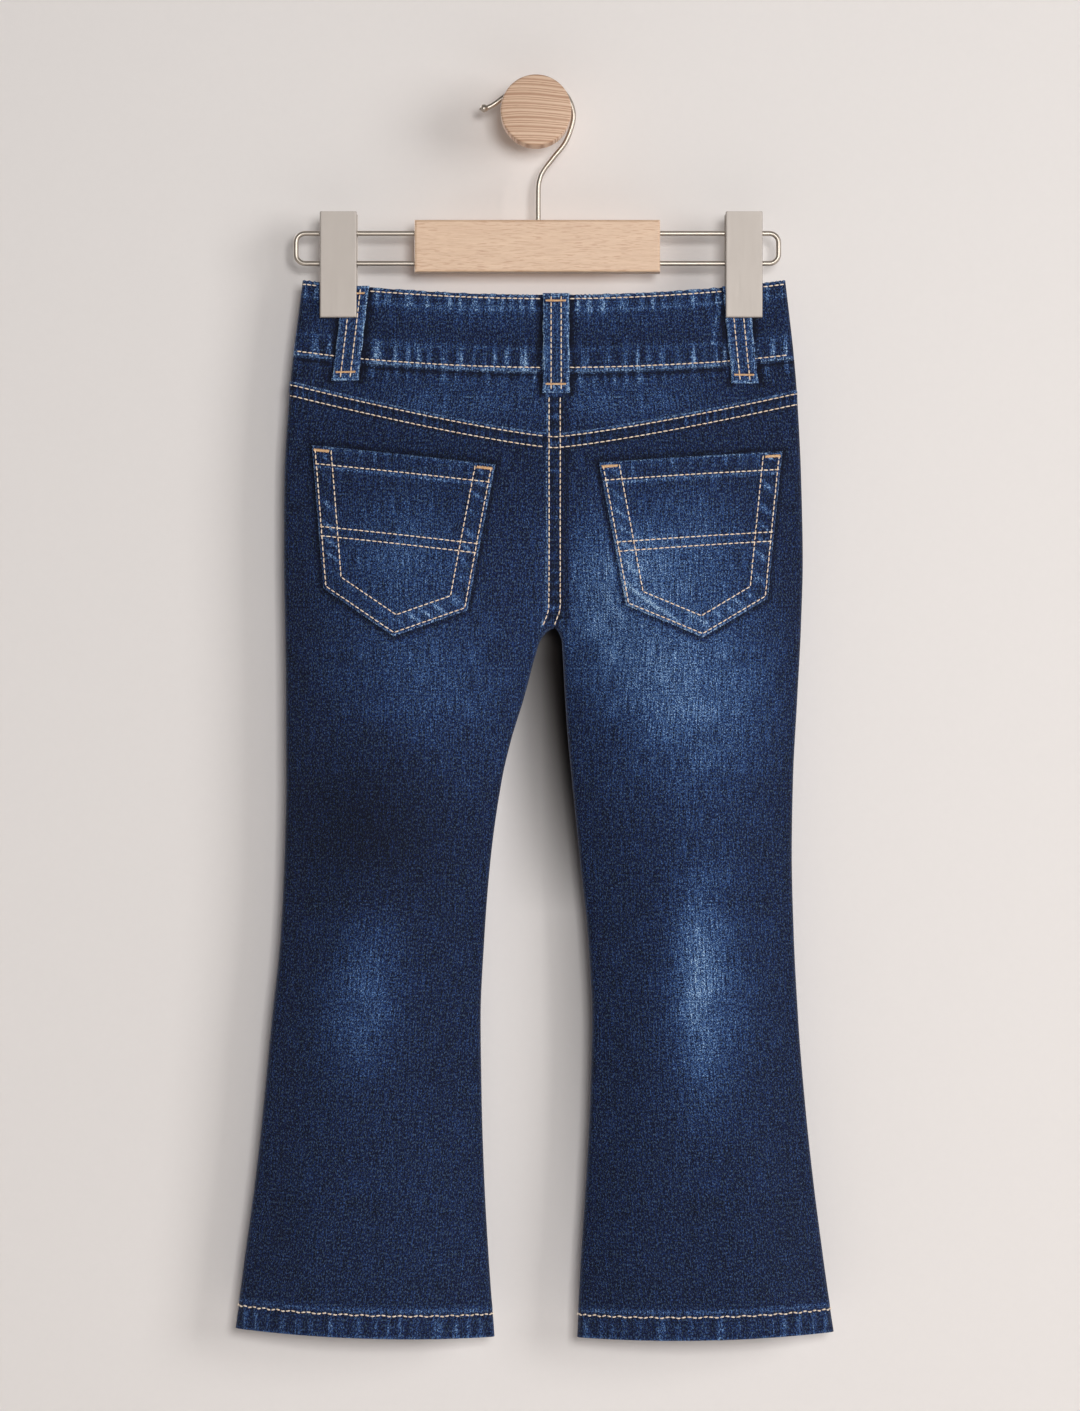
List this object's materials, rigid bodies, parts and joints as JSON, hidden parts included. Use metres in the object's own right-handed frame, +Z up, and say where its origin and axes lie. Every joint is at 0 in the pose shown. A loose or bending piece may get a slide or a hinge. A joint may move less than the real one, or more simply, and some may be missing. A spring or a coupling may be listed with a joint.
{
  "type": "flared jeans on a clip hanger and wall peg",
  "caption": "Child's dark denim flared jeans hung flat, back outwards, from a wood and wire clip hanger on a round wooden wall peg.",
  "frame": {"origin": "centre of the wall peg's flat face, where it meets the wall", "axes": "+Z up, +Y into the wall, so the back of the jeans faces -Y; +X to the wearer's right"},
  "size_m": [0.3286, 0.0523, 0.6919],
  "materials": {
    "denim": "dark indigo twill, worn light at the seams and edges, matt",
    "button_metal": "antique, satin",
    "satin_metal": "satin nickel",
    "hanger_wood": "beech, matt lacquer",
    "peg_wood": "oiled, fine level grain"
  },
  "bodies": {
    "root": {"waistband_back": "denim", "waistband_front_left": "denim", "waistband_front_right": "denim", "yoke_left": "denim", "yoke_right": "denim", "back_panel_left": "denim", "front_panel_left": "denim", "back_panel_right": "denim", "front_panel_right": "denim", "back_pocket_left": "denim", "back_pocket_right": "denim", "belt_loop_back_centre": "denim", "belt_loop_back_left": "denim", "belt_loop_back_right": "denim", "belt_loop_front_left": "denim", "belt_loop_front_right": "denim", "waist_button": "button_metal", "hanger_hook": "satin_metal", "hanger_rail_left": "satin_metal", "hanger_rail_right": "satin_metal", "clip_left_back": "satin_metal", "clip_left_front": "satin_metal", "clip_left_spring": "satin_metal", "clip_right_back": "satin_metal", "clip_right_front": "satin_metal", "clip_right_spring": "satin_metal", "hanger_block": "hanger_wood", "wall_peg": "peg_wood"}
  },
  "joints": []
}
